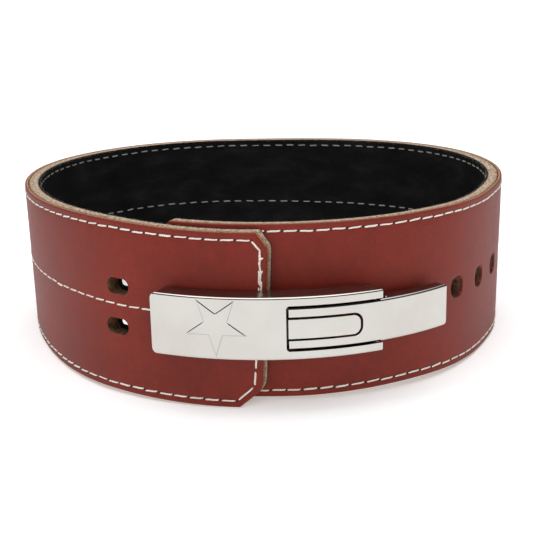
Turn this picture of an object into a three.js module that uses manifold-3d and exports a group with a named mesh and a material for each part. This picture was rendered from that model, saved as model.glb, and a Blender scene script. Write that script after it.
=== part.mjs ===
// Lever belt for weightlifting, buckled into its loop and standing on its lower edge.
// Units are millimetres, +X to the wearer's left, -Y to the front, +Z up, origin on the floor
// below the middle of the loop.

import * as THREE from 'three';
import { mergeVertices } from 'three/addons/utils/BufferGeometryUtils.js';
import Module from 'manifold-3d';

const wasm = await Module();
wasm.setup();
const { Manifold, Mesh: SolidMesh } = wasm;

// Driving sizes of the strap
const STRAP_HEIGHT = 100;
const FACE_LEATHER = 2.5;
const CORE_LEATHER = 5.9;
const SUEDE = 1.0;
const GLUE_GAP = 0.3;
const SUEDE_INSET = 0.5;
// Grid steps from end to end, and how many of them take up the shape of an end
const STATIONS = 84;
const END_BLEND = 3;

// Plan of the loop. An angle on the strap, in degrees, is 0 at the front and grows round the left
// side and the back to 360 at the front again, where the strap's inner end slips under its outer end.
const MEAN_RADIUS = 158;
const INWARD_PER_TURN = 10.9;
const HARMONICS = [
  { turns: 2, cosine: -7.6, sine: -3.2 },
  { turns: 3, cosine: 5.8, sine: 2.3 },
  { turns: 4, cosine: -1.4, sine: 1.4 },
];
// The prong plate pulls the inner strap outward here
const PULL = { at: 326, half: 38, height: 10 };
const CENTRE = { x: -1.481, y: -15.197 };

// How the strap stands. lift raises both edges, lean is the wall's outward slope in degrees,
// tip is the slope of the two cut edges from the face to the lining.
const STANCE = [
  { at: 0, lift: 0, lean: -4, tip: 0 },
  { at: 35, lift: 2.2, lean: -4, tip: -1 },
  { at: 80, lift: 0, lean: 1, tip: 0 },
  { at: 125, lift: 0, lean: -3, tip: 0 },
  { at: 170, lift: 1, lean: -1, tip: 2 },
  { at: 215, lift: 0, lean: 6.5, tip: 2 },
  { at: 260, lift: 1.6, lean: 0.8, tip: 0 },
  { at: 295, lift: 1, lean: 0.5, tip: -3 },
  { at: 325, lift: 3.8, lean: 0, tip: -5 },
  { at: 355, lift: 2, lean: -4, tip: -5 },
  { at: 386, lift: 3, lean: -4, tip: -4 },
];

// The angle of each end of the strap at four heights, which gives its two cut corners
const ENDS = [
  { height: 0, outer: 5.9, inner: 382.0 },
  { height: 10.4, outer: 1.2, inner: 385.2 },
  { height: 90.5, outer: -0.6, inner: 385.6 },
  { height: STRAP_HEIGHT, outer: 1.9, inner: 382.3 },
];
// The outer end is cut aslant: degrees it reaches further for each millimetre of depth
const END_SLANT = 0.125;

// Holes punched through the strap
const FIT_HOLE = { width: 16.8, height: 9.4, at: 33.7, low: 38.5, high: 62.2 };
const PRONG_HOLE = { radius: 5.5, at: 312.6, level: 49, pitch: 31, before: 3, after: 4 };

// The buckle lies on upright arcs about one axis. Across is measured along its front face
// and is 0 at the face's foremost point, depth goes from the face towards the strap.
const BUCKLE = { x: 0.4, front: -170.1, level: 50.5, radius: 153.5 };
const LEVER = { left: -65.3, right: 66.4, half: 18, plate: 1.8, wall: 2.2 };
const LEVER_WALL = { lower: 11.2, upper: 13.6, right: 63 };
const SLOT = { left: 11.9, half: 13, corner: 0.01 };
const TONGUE = { root: 1, right: 53, half: 6.1, front: 0.5, back: 1.9, corner: 5 };
const LINK = { right: 114.4, half: 12.2, front: 0.5, back: 2.3, wall: 1.8, stub: 4.9 };
const LINK_WALL = { left: 70, leftDepth: 9.5, rightDepth: 7.2 };
const LINK_CUT = { right: 54, half: 6.9, corner: 5.6 };
const KNUCKLE = 2.9;
const LEVER_AXIS = { at: 62, depth: 7.5, pin: 2.5, boss: 5 };
const LINK_AXIS = { at: 18, depth: 3.8, pin: 1.4 };
const PIN_GAP = 0.3;
const PIN_INSET = 0.4;
const PRONG = { radius: 3.3, boss: 6, bossGap: 2.5, beyond: 5.5, towardsEnd: 0.2, reach: 10.2 };
const BASE = { left: 20.4, right: -14.5, half: 15.2, clear: 0.4, plate: 2.0, ear: 2.3, stations: 14 };
const EAR = { left: 4, leftDepth: 9.4, neck: 40, neckDepth: 6.2, tip: 3, root: [-14, -10, -6, -2] };
const SCREW = { shank: 2.4, hole: 2.8, rise: 10.5, at: [4.6, 16.6] };
const SCREW_HEAD = { radius: 4.5, flat: 3.9, rim: 1.0, dome: 1.3 };
const SCREW_NUT = { radius: 5.2, hole: 5.6, inset: 0.1 };

// Facets: sides of a bar, steps of the round parts of a cutter, millimetres per step of an arc
const ROUND_SIDES = 16;
const HOLE_ARC = 6;
const OVAL_ARC = 3;
const SCREW_ARC = 4;
const CORNER_ARC = 4;
const ARC_STEP = 6;

// How far cutters reach past what they cut: off the strap's face, past a buckle edge, out of its face
const PUNCH_REACH = 4;
const BEHIND_FACE = 0.2;
const EDGE_REACH = 1;
const CUT_REACH = 10;
const WINDOW_REACH = 20;

const red = { color: 0x76342c, roughness: 0.5, metalness: 0 };
const tan = { color: 0xb29e8c, roughness: 0.9, metalness: 0 };
const black = { color: 0x1b1b1b, roughness: 1, metalness: 0 };
const steel = { color: 0xdedcd6, roughness: 0.12, metalness: 1 };

const radians = THREE.MathUtils.degToRad;

// Value of one column of the stance at an angle, eased from row to row
function stance(angle, column) {
  const last = STANCE.length - 1;
  const inside = THREE.MathUtils.clamp(angle, STANCE[0].at, STANCE[last].at);
  const row = Math.min(STANCE.filter((entry) => entry.at <= inside).length - 1, last - 1);
  const from = STANCE[row];
  const to = STANCE[row + 1];
  const share = (inside - from.at) / (to.at - from.at);
  return from[column] + (to[column] - from[column]) * share * share * (3 - 2 * share);
}

// Distance of the strap's outer face from the plan's pole
function faceRadius(angle) {
  const turn = radians(angle);
  const waves = HARMONICS.reduce(
    (sum, wave) => sum + wave.cosine * Math.cos(wave.turns * turn) + wave.sine * Math.sin(wave.turns * turn),
    0,
  );
  const away = Math.min(Math.abs(angle - PULL.at) / PULL.half, 1);
  const pulled = (PULL.height * (1 + Math.cos(Math.PI * away))) / 2;
  return MEAN_RADIUS - (INWARD_PER_TURN * angle) / 360 + waves + pulled;
}

// Plan point of the outer face at an angle
function facePlan(angle) {
  const turn = radians(angle);
  const radius = faceRadius(angle);
  return new THREE.Vector2(-radius * Math.sin(turn), -radius * Math.cos(turn));
}

// Outward unit normal of the plan curve
function faceNormal(angle) {
  const step = 0.01;
  const along = facePlan(angle + step).sub(facePlan(angle - step)).normalize();
  return new THREE.Vector2(along.y, -along.x).multiplyScalar(-1);
}

// Point of the strap at an angle, a height above its lower edge and a depth below its outer face
function strapPoint(angle, height, depth) {
  const slope = Math.tan(radians(stance(angle, 'lean')));
  const outward = (height - STRAP_HEIGHT / 2) * slope - depth;
  const plan = facePlan(angle).addScaledVector(faceNormal(angle), outward);
  const tip = Math.tan(radians(stance(angle, 'tip')));
  return new THREE.Vector3(plan.x, plan.y, stance(angle, 'lift') + height + depth * tip);
}

// A watertight solid from a geometry, its equal corners joined
function toSolid(geometry) {
  const bare = geometry.clone();
  bare.deleteAttribute('normal');
  bare.deleteAttribute('uv');
  const merged = mergeVertices(bare, 1e-4);
  return new Manifold(
    new SolidMesh({
      numProp: 3,
      vertProperties: Float32Array.from(merged.attributes.position.array),
      triVerts: Uint32Array.from(merged.index.array),
    }),
  );
}

// The triangles of a solid as a geometry
function toGeometry(solid) {
  const mesh = solid.getMesh();
  const geometry = new THREE.BufferGeometry();
  geometry.setAttribute('position', new THREE.BufferAttribute(Float32Array.from(mesh.vertProperties), 3));
  geometry.setIndex(Array.from(mesh.triVerts));
  geometry.computeVertexNormals();
  return geometry;
}

// A sheet that lies along the strap: a grid of rows by stations on both faces, closed along
// the edges. place gives the angle and height of a grid point from its station, row and depth.
function sheet(stations, rows, place, depthFrom, depthTo) {
  const positions = [];
  const triangles = [];
  for (let station = 0; station <= stations; station += 1) {
    for (const depth of [depthFrom, depthTo]) {
      for (let row = 0; row < rows; row += 1) {
        const { angle, height } = place(station, row, depth);
        positions.push(...strapPoint(angle, height, depth));
      }
    }
  }
  const vertex = (station, face, row) => (station * 2 + face) * rows + row;
  const quad = (a, b, c, d) => triangles.push(a, b, c, a, c, d);
  const top = rows - 1;
  for (let s = 0; s < stations; s += 1) {
    for (let row = 0; row < top; row += 1) {
      quad(vertex(s, 0, row), vertex(s, 0, row + 1), vertex(s + 1, 0, row + 1), vertex(s + 1, 0, row));
      quad(vertex(s, 1, row), vertex(s + 1, 1, row), vertex(s + 1, 1, row + 1), vertex(s, 1, row + 1));
    }
    quad(vertex(s, 0, top), vertex(s, 1, top), vertex(s + 1, 1, top), vertex(s + 1, 0, top));
    quad(vertex(s, 0, 0), vertex(s + 1, 0, 0), vertex(s + 1, 1, 0), vertex(s, 1, 0));
  }
  for (let row = 0; row < top; row += 1) {
    quad(vertex(0, 0, row), vertex(0, 1, row), vertex(0, 1, row + 1), vertex(0, 0, row + 1));
    const s = stations;
    quad(vertex(s, 0, row), vertex(s, 0, row + 1), vertex(s, 1, row + 1), vertex(s, 1, row));
  }
  const geometry = new THREE.BufferGeometry();
  geometry.setAttribute('position', new THREE.Float32BufferAttribute(positions, 3));
  geometry.setIndex(triangles);
  return toSolid(geometry);
}

// One leather layer from end to end of the strap, its ends cut as the table says
function layer(depthFrom, depthTo, inset = 0) {
  const level = ENDS[1];
  const place = (station, row, depth) => {
    const end = ENDS[row];
    const nearOuter = Math.max(0, 1 - station / END_BLEND);
    const nearInner = Math.max(0, 1 - (STATIONS - station) / END_BLEND);
    const even = level.outer + ((level.inner - level.outer) * station) / STATIONS;
    const outerMove = (end.outer - level.outer - END_SLANT * depth) * nearOuter;
    const innerMove = (end.inner - level.inner) * nearInner;
    const height = THREE.MathUtils.clamp(end.height, inset, STRAP_HEIGHT - inset);
    return { angle: even + outerMove + innerMove, height };
  };
  return sheet(STATIONS, ENDS.length, place, depthFrom, depthTo);
}

// A straight prism whose outline is drawn on the strap's leaning face and which runs square to it
function prismThroughStrap(shape, angle, height, depthFrom, depthTo, segments) {
  const length = depthTo - depthFrom;
  const geometry = new THREE.ExtrudeGeometry(shape, {
    depth: length,
    bevelEnabled: false,
    curveSegments: segments,
  });
  const normal = faceNormal(angle);
  const slope = Math.tan(radians(stance(angle, 'lean')));
  const along = new THREE.Vector3(-normal.y, normal.x, 0);
  const upward = new THREE.Vector3(normal.x * slope, normal.y * slope, 1).normalize();
  const outward = new THREE.Vector3().crossVectors(along, upward);
  const start = strapPoint(angle, height, 0).addScaledVector(outward, -depthTo);
  const frame = new THREE.Matrix4().makeBasis(along, upward, outward).setPosition(start);
  return toSolid(geometry.applyMatrix4(frame));
}

// Outline of a hole with straight sides and half-round ends
function oval(width, height) {
  const shape = new THREE.Shape();
  const flat = (width - height) / 2;
  const radius = height / 2;
  shape.absarc(flat, 0, radius, -Math.PI / 2, Math.PI / 2, false);
  shape.absarc(-flat, 0, radius, Math.PI / 2, (3 * Math.PI) / 2, false);
  return shape;
}

// Outline of a round hole
function disc(radius) {
  const shape = new THREE.Shape();
  shape.absarc(0, 0, radius, 0, 2 * Math.PI, false);
  return shape;
}

// Angles of the row of prong holes, one pitch apart along the strap, found in steps of WALK_STEP
const WALK_STEP = 0.05;
function prongHoleAngles() {
  const angles = [];
  for (let hole = -PRONG_HOLE.before; hole <= PRONG_HOLE.after; hole += 1) {
    let angle = PRONG_HOLE.at;
    let walked = 0;
    const step = Math.sign(hole) * WALK_STEP;
    while (walked < Math.abs(hole) * PRONG_HOLE.pitch) {
      walked += facePlan(angle).distanceTo(facePlan(angle + step));
      angle += step;
    }
    angles.push(angle);
  }
  return angles;
}

const HOLE_ANGLES = prongHoleAngles();
const WHOLE_DEPTH = FACE_LEATHER + CORE_LEATHER + SUEDE + 2 * GLUE_GAP;
const THROUGH = [-PUNCH_REACH, WHOLE_DEPTH + PUNCH_REACH];
// From this angle on the strap's face lies under its outer end
const OVERLAP_FROM = 350;

// A layer with every hole cut through it, the screws' by their own radius
function punch(strapLayer, screwRadius) {
  const cutters = [];
  for (const level of [FIT_HOLE.low, FIT_HOLE.high]) {
    const shape = oval(FIT_HOLE.width, FIT_HOLE.height);
    cutters.push(prismThroughStrap(shape, FIT_HOLE.at, level, ...THROUGH, OVAL_ARC));
  }
  for (const angle of HOLE_ANGLES) {
    const reach = angle > OVERLAP_FROM ? [-BEHIND_FACE, WHOLE_DEPTH + PUNCH_REACH] : THROUGH;
    const circle = disc(PRONG_HOLE.radius);
    cutters.push(prismThroughStrap(circle, angle, PRONG_HOLE.level, ...reach, HOLE_ARC));
  }
  for (const { angle, height } of screwPlaces()) {
    const reach = [-PUNCH_REACH, WHOLE_DEPTH + BEHIND_FACE];
    cutters.push(prismThroughStrap(disc(screwRadius), angle, height, ...reach, SCREW_ARC));
  }
  return cutters.reduce((rest, cutter) => rest.subtract(cutter), strapLayer);
}

// Two screws above and two below the buckle's middle level
function screwPlaces() {
  const places = [];
  for (const angle of SCREW.at) {
    const middle = BUCKLE.level - stance(angle, 'lift');
    places.push({ angle, height: middle - SCREW.rise });
    places.push({ angle, height: middle + SCREW.rise });
  }
  return places;
}

// The buckle's own plan coordinates turned into the belt's
function bucklePlan(across, depth) {
  const turn = across / BUCKLE.radius;
  const radius = BUCKLE.radius - depth;
  return new THREE.Vector2(
    BUCKLE.x + radius * Math.sin(turn),
    BUCKLE.front + BUCKLE.radius - radius * Math.cos(turn),
  );
}

// A run of points at even steps from one end of an arc to the other, its depth changing evenly
function arcRun(from, to) {
  const steps = Math.max(1, Math.ceil(Math.abs(to.at - from.at) / ARC_STEP));
  return Array.from({ length: steps + 1 }, (_, i) => {
    const share = i / steps;
    return bucklePlan(from.at + (to.at - from.at) * share, from.depth + (to.depth - from.depth) * share);
  });
}

// A plan outline extruded straight up between two levels of the buckle
function upright(points, low, high) {
  const geometry = new THREE.ExtrudeGeometry(new THREE.Shape(points), {
    depth: high - low,
    bevelEnabled: false,
    curveSegments: ROUND_SIDES,
  });
  geometry.translate(0, 0, BUCKLE.level + low);
  return toSolid(geometry);
}

// A plate bent along the buckle's arc
function bentPlate(left, right, front, back, low, high) {
  const outline = [
    ...arcRun({ at: left, depth: front }, { at: right, depth: front }),
    ...arcRun({ at: right, depth: back }, { at: left, depth: back }),
  ];
  return upright(outline, low, high);
}

// A round upright bar on one of the buckle's two hinge axes
function bar(axis, radius, low, high) {
  const centre = bucklePlan(axis.at, axis.depth);
  const geometry = new THREE.CylinderGeometry(radius, radius, high - low, ROUND_SIDES);
  geometry.rotateX(Math.PI / 2);
  geometry.translate(centre.x, centre.y, BUCKLE.level + (low + high) / 2);
  return toSolid(geometry);
}

// A rounded window seen square on from one place on the front face, cut right through
function window(left, right, half, corner, facing) {
  const shape = new THREE.Shape();
  const from = left - facing;
  const to = right - facing;
  shape.moveTo(from, -half);
  shape.lineTo(to - corner, -half);
  shape.absarc(to - corner, -half + corner, corner, -Math.PI / 2, 0, false);
  shape.lineTo(to, half - corner);
  shape.absarc(to - corner, half - corner, corner, 0, Math.PI / 2, false);
  shape.lineTo(from, half);
  const geometry = new THREE.ExtrudeGeometry(shape, {
    depth: 2 * WINDOW_REACH,
    bevelEnabled: false,
    curveSegments: CORNER_ARC,
  });
  const turn = facing / BUCKLE.radius;
  const along = new THREE.Vector3(Math.cos(turn), Math.sin(turn), 0);
  const upward = new THREE.Vector3(0, 0, 1);
  const outward = new THREE.Vector3().crossVectors(along, upward);
  const place = bucklePlan(facing, 0);
  const origin = new THREE.Vector3(place.x, place.y, BUCKLE.level).addScaledVector(outward, -WINDOW_REACH);
  const frame = new THREE.Matrix4().makeBasis(along, upward, outward).setPosition(origin);
  return toSolid(geometry.applyMatrix4(frame));
}

// The hole of a hinge axis through a piece as high as half both ways
function axisHole(axis, half) {
  return bar(axis, axis.pin + PIN_GAP, -half - EDGE_REACH, half + EDGE_REACH);
}

// The lever: a face plate with a slot open to the right, two side walls, and a tongue in the slot
function makeLever() {
  const inner = LEVER.half - LEVER.wall;
  const slotEnd = LEVER.right + CUT_REACH;
  const plate = bentPlate(LEVER.left, LEVER.right, 0, LEVER.plate, -LEVER.half, LEVER.half);
  const slot = window(SLOT.left, slotEnd, SLOT.half, SLOT.corner, (SLOT.left + LEVER.right) / 2);
  const wallOutline = (depth) => [
    ...arcRun({ at: LEVER.left, depth: 0 }, { at: LEVER.right, depth: 0 }),
    bucklePlan(LEVER.right, LEVER_AXIS.depth),
    ...arcRun({ at: LEVER_WALL.right, depth }, { at: LEVER.left, depth }),
  ];
  const root = SLOT.left - TONGUE.root;
  const tongue = bentPlate(root, TONGUE.right, TONGUE.front, TONGUE.back, -TONGUE.half, TONGUE.half);
  const facing = TONGUE.right - TONGUE.corner;
  const tongueEnd = window(root - EDGE_REACH, TONGUE.right, TONGUE.half, TONGUE.corner, facing);
  return plate
    .subtract(slot)
    .add(tongue.intersect(tongueEnd))
    .add(upright(wallOutline(LEVER_WALL.lower), -LEVER.half, -inner))
    .add(upright(wallOutline(LEVER_WALL.upper), inner, LEVER.half))
    .subtract(axisHole(LEVER_AXIS, LEVER.half))
    .subtract(axisHole(LINK_AXIS, LEVER.half));
}

// The prong plate: two arms round the lever's tongue, a bent plate with side walls, and the prong
function makeLink() {
  const left = LINK_AXIS.at - LINK.stub;
  const plate = bentPlate(left, LINK.right, LINK.front, LINK.back, -LINK.half, LINK.half);
  const facing = LINK_CUT.right - LINK_CUT.corner;
  const cut = window(left - EDGE_REACH, LINK_CUT.right, LINK_CUT.half, LINK_CUT.corner, facing);
  const wallOutline = [
    ...arcRun({ at: LINK_WALL.left, depth: LINK.front }, { at: LINK.right, depth: LINK.front }),
    ...arcRun(
      { at: LINK.right, depth: LINK_WALL.rightDepth },
      { at: LINK_WALL.left, depth: LINK_WALL.leftDepth },
    ),
  ];
  const inner = LINK.half - LINK.wall;
  const knuckle = (low, high) => bar(LINK_AXIS, KNUCKLE, low, high);
  return plate
    .subtract(cut)
    .add(upright(wallOutline, -LINK.half, -inner))
    .add(upright(wallOutline, inner, LINK.half))
    .add(knuckle(LINK_CUT.half, LINK.half))
    .add(knuckle(-LINK.half, -LINK_CUT.half))
    .add(prongPrism(PRONG.radius, PRONG.beyond))
    .add(prongPrism(PRONG.boss, -PRONG.bossGap))
    .subtract(axisHole(LINK_AXIS, LINK.half));
}

// A round stud from the plate towards the strap, on the axis of the prong in its hole
function prongPrism(radius, depth) {
  const hole = HOLE_ANGLES[PRONG_HOLE.before + 1];
  const perDegree = facePlan(hole).distanceTo(facePlan(hole + 1));
  const angle = hole + PRONG.towardsEnd / perDegree;
  return prismThroughStrap(disc(radius), angle, PRONG_HOLE.level, -PRONG.reach, depth, HOLE_ARC);
}

// The base plate lies on the strap, and its two ears carry the lever's hinge
function makeBase() {
  const heightAt = (angle, level) => BUCKLE.level + level - stance(angle, 'lift');
  const place = (station, row) => {
    const angle = BASE.right + ((BASE.left - BASE.right) * station) / BASE.stations;
    return { angle, height: heightAt(angle, row ? BASE.half : -BASE.half) };
  };
  const front = -(BASE.clear + BASE.plate);
  const plate = sheet(BASE.stations, 2, place, front, -BASE.clear);
  const middle = (angle, level) => {
    const point = strapPoint(angle, heightAt(angle, level), (front - BASE.clear) / 2);
    return new THREE.Vector2(point.x, point.y);
  };
  const ear = (level) => [
    ...arcRun({ at: EAR.left, depth: EAR.leftDepth }, { at: EAR.neck, depth: EAR.neckDepth }),
    bucklePlan(LEVER_AXIS.at, LEVER_AXIS.depth - EAR.tip),
    bucklePlan(LEVER_AXIS.at, LEVER_AXIS.depth + EAR.tip),
    ...EAR.root.map((angle) => middle(angle, level)),
  ];
  const low = BASE.half - BASE.ear;
  const whole = plate
    .add(upright(ear(low), low, BASE.half))
    .add(upright(ear(-BASE.half), -BASE.half, -low))
    .add(bar(LEVER_AXIS, LEVER_AXIS.boss, low, BASE.half))
    .add(bar(LEVER_AXIS, LEVER_AXIS.boss, -BASE.half, -low))
    .subtract(axisHole(LEVER_AXIS, BASE.half));
  const screwHole = ({ angle, height }) =>
    prismThroughStrap(disc(SCREW.hole), angle, height, -PUNCH_REACH, PUNCH_REACH, SCREW_ARC);
  return screwPlaces().reduce((rest, place) => rest.subtract(screwHole(place)), whole);
}

// A screw turned about its axis, with a low head outside the plate and a flat nut in the suede
function makeScrew({ angle, height }) {
  const headBase = -(BASE.clear + BASE.plate + GLUE_GAP);
  const nutTop = WHOLE_DEPTH - SUEDE + SCREW_NUT.inset;
  const nutEnd = WHOLE_DEPTH - SCREW_NUT.inset;
  const profile = [
    new THREE.Vector2(0, headBase - SCREW_HEAD.dome),
    new THREE.Vector2(SCREW_HEAD.flat, headBase - SCREW_HEAD.rim),
    new THREE.Vector2(SCREW_HEAD.radius, headBase),
    new THREE.Vector2(SCREW.shank, headBase),
    new THREE.Vector2(SCREW.shank, nutTop),
    new THREE.Vector2(SCREW_NUT.radius, nutTop),
    new THREE.Vector2(SCREW_NUT.radius, nutEnd),
    new THREE.Vector2(0, nutEnd),
  ];
  const geometry = new THREE.LatheGeometry(profile, 2 * SCREW_ARC);
  const normal = faceNormal(angle);
  const slope = Math.tan(radians(stance(angle, 'lean')));
  const inward = new THREE.Vector3(-normal.x, -normal.y, slope).normalize();
  geometry.applyQuaternion(new THREE.Quaternion().setFromUnitVectors(new THREE.Vector3(0, 1, 0), inward));
  const place = strapPoint(angle, height, 0);
  geometry.translate(place.x, place.y, place.z);
  return toSolid(geometry);
}

const belt = new THREE.Group();
belt.name = 'lever_belt';

// Hangs a solid into the belt as a named mesh, moved so that the belt's middle is the origin
function add(name, solid, finish) {
  const mesh = new THREE.Mesh(toGeometry(solid), new THREE.MeshStandardMaterial(finish));
  mesh.name = name;
  mesh.position.set(-CENTRE.x, -CENTRE.y, 0);
  belt.add(mesh);
}

const coreFrom = FACE_LEATHER + GLUE_GAP;
const suedeFrom = coreFrom + CORE_LEATHER + GLUE_GAP;
add('outer_leather', punch(layer(0, FACE_LEATHER), SCREW.hole), red);
add('core_leather', punch(layer(coreFrom, coreFrom + CORE_LEATHER), SCREW.hole), tan);
add('suede_lining', punch(layer(suedeFrom, suedeFrom + SUEDE, SUEDE_INSET), SCREW_NUT.hole), black);
add('base_plate', makeBase(), steel);
add('lever', makeLever(), steel);
add('prong_plate', makeLink(), steel);
const pinEnd = LEVER.half - PIN_INSET;
add('lever_pin', bar(LEVER_AXIS, LEVER_AXIS.pin, -pinEnd, pinEnd), steel);
add('prong_plate_pin', bar(LINK_AXIS, LINK_AXIS.pin, -pinEnd, pinEnd), steel);
screwPlaces().forEach((place, i) => add(`mounting_screw_${i + 1}`, makeScrew(place), steel));

export default belt;
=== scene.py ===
"""Looks of a lever belt: smooth leather layers, sewn threads, polished buckle and a plain studio."""

import math

import bmesh
import bpy
import numpy as np
from bpy.props import FloatProperty, FloatVectorProperty, PointerProperty
from mathutils import Matrix


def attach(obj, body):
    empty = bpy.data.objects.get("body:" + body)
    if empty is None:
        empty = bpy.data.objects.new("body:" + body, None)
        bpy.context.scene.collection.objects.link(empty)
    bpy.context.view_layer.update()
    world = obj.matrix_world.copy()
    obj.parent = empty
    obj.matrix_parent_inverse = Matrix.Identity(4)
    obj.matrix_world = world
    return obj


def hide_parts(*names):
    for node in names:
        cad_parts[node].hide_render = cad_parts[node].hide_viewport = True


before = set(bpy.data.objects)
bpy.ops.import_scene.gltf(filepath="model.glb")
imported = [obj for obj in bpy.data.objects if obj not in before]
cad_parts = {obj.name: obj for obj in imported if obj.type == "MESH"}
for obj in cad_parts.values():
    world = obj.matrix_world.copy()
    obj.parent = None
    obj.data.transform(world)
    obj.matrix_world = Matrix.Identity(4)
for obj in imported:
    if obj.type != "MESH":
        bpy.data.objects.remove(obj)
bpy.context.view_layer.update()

bl_info = {
    "name": "Lever belt looks",
    "version": (1, 0, 0),
    "blender": (4, 5, 0),
    "location": "View3D > Sidebar > Belt",
    "description": "Builds the leather, threads and buckle of a lever belt round its packed parts",
    "category": "Add Mesh",
}

MM = 0.001
SAME_PLACE = 1e-7

# Strap: driving sizes in millimetres and degrees, the same as the solid parts have
STRAP_HEIGHT = 100.0
FACE_LEATHER = (0.0, 2.5)
CORE_LEATHER = (2.65, 8.85)
SUEDE = (9.0, 10.0)
WHOLE_DEPTH = 10.0
MEAN_RADIUS = 158.0
INWARD_PER_TURN = 10.9
HARMONICS = ((2, -7.6, -3.2), (3, 5.8, 2.3), (4, -1.4, 1.4))
PULL_AT, PULL_HALF, PULL_HEIGHT = 326.0, 38.0, 10.0
CENTRE = np.array((-1.481, -15.197))

# Columns: angle, lift of both edges, lean of the wall, tip of the cut edges
STANCE = np.array((
    (0, 0, -4, 0), (35, 2.2, -4, -1), (80, 0, 1, 0), (125, 0, -3, 0), (170, 1, -1, 2),
    (215, 0, 6.5, 2), (260, 1.6, 0.8, 0), (295, 1, 0.5, -3), (325, 3.8, 0, -5), (355, 2, -4, -5),
    (386, 3, -4, -4),
), dtype=float)
LIFT, LEAN, TIP = 1, 2, 3

# Columns: height, angle of the outer end, angle of the inner end
ENDS = np.array(((0, 5.9, 382.0), (10.4, 1.2, 385.2), (90.5, -0.6, 385.6), (100, 1.9, 382.3)))
END_REACH, END_SLANT = 34.0, 0.34

# Holes: the two fit holes, the row of prong holes, and the rim that wear turns dark and round
FIT_HOLE_AT, FIT_HOLE_LEVELS, FIT_HOLE_HALF = 33.7, (38.5, 62.2), (8.4, 4.7)
PRONG_HOLE_AT, PRONG_HOLE_LEVEL, PRONG_HOLE_RADIUS, PRONG_HOLE_PITCH = 312.6, 49.0, 5.5, 31.0
PRONG_HOLES_BEFORE, PRONG_HOLES_AFTER = 3, 4
HOLE_RIM, HOLE_WEAR = 0.9, 2.0
BLOCK_SHARE = 0.9

# Grid of a leather layer: steps by the holes and elsewhere, and rows that gather at both edges
FINE_STEP, PLAIN_STEP, END_STEP = 1.35, 3.6, 0.75
FINE_BESIDE_FIT, FINE_BESIDE_PRONG = 20, 14
FINE_ROWS, FINE_ROW_STEP = (27, 74), 1.3
EDGE_ROWS = (0, 0.15, 0.4, 0.9, 2.4, 3.2, 4.0, 4.8, 5.6)
CORNER_SLANT = 0.82
SEAM_GROOVE_HALF = 1.1

# Loose fibres of the lining: how many, where they start and how thick they are
FIBRES, FIBRE_LEVELS, FIBRE_DEPTHS, FIBRE_THICK = 9000, (99.0, 99.8), (8.5, 9.8), 0.17

# Buckle: upright arcs about one axis, across its front face and in towards the strap
BUCKLE_X, BUCKLE_FRONT, BUCKLE_LEVEL, BUCKLE_RADIUS = 0.4, -170.1, 50.5, 153.5
BUCKLE_FALL, BUCKLE_LEVEL_AT = 0.013, 8.0
LINK_AXIS = (18.0, 3.8)

# Studio: the floor's reach, and the camera of the photograph before the belt is centred
FLOOR_REACH = 20000
CAMERA_DISTANCE, CAMERA_HEIGHT = 762.0, 260.6
CAMERA_DOWN, CAMERA_YAW, CAMERA_ROLL = 16.395, 0.08, -1.357
CAMERA_FOCUS, FRAME_WIDTH, SENSOR = 1156.0, 533.0, 36.0


def stance(angle, column):
    """One column of STANCE at each angle, joined from row to row by the smooth step 3s^2 - 2s^3."""
    at, values = STANCE[:, 0], STANCE[:, column]
    angle = np.clip(angle, at[0], at[-1])
    row = np.clip(np.searchsorted(at, angle, side="right") - 1, 0, len(at) - 2)
    share = (angle - at[row]) / (at[row + 1] - at[row])
    return values[row] + (values[row + 1] - values[row]) * share**2 * (3 - 2 * share)


def face_plan(angle):
    """Plan of the strap's outer face: a circle that shrinks evenly, plus waves and one cosine bulge."""
    turn = np.radians(angle)
    radius = MEAN_RADIUS - INWARD_PER_TURN * angle / 360
    for turns, cosine, sine in HARMONICS:
        radius = radius + cosine * np.cos(turns * turn) + sine * np.sin(turns * turn)
    away = np.minimum(np.abs(angle - PULL_AT) / PULL_HALF, 1)
    radius = radius + PULL_HEIGHT * (1 + np.cos(math.pi * away)) / 2
    return np.stack((-radius * np.sin(turn), -radius * np.cos(turn)), -1)


def face_normal(angle):
    """Outward unit normal of the plan: the tangent turned a quarter turn."""
    step = 0.01
    along = face_plan(angle + step) - face_plan(angle - step)
    along = along / np.linalg.norm(along, axis=-1, keepdims=True)
    return np.stack((-along[..., 1], along[..., 0]), -1)


def strap_point(angle, height, depth):
    """Belt position of a point by angle, height on the strap and depth below its outer face.

    The plan point moves out by (height - half) * tan(lean) - depth, and up by lift + depth * tan(tip).
    """
    outward = (height - STRAP_HEIGHT / 2) * np.tan(np.radians(stance(angle, LEAN))) - depth
    plan = face_plan(angle) + face_normal(angle) * outward[..., None] - CENTRE
    level = stance(angle, LIFT) + height + depth * np.tan(np.radians(stance(angle, TIP)))
    return np.concatenate((plan, level[..., None]), -1)


WALK_ANGLES = np.linspace(-20, 400, 8401)
WALK_STEPS = np.linalg.norm(np.diff(face_plan(WALK_ANGLES), axis=0), axis=1)
WALK = np.concatenate(((0,), np.cumsum(WALK_STEPS)))
WALK = WALK - np.interp(0, WALK_ANGLES, WALK)


def run_at(angle):
    """Millimetres along the outer face from angle 0."""
    return np.interp(angle, WALK_ANGLES, WALK)


def angle_at(run):
    """Angle of a run along the outer face."""
    return np.interp(run, WALK, WALK_ANGLES)


def prong_hole_runs():
    """Runs of the prong holes, one pitch apart."""
    return run_at(PRONG_HOLE_AT) + PRONG_HOLE_PITCH * np.arange(-PRONG_HOLES_BEFORE, PRONG_HOLES_AFTER + 1)


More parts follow.
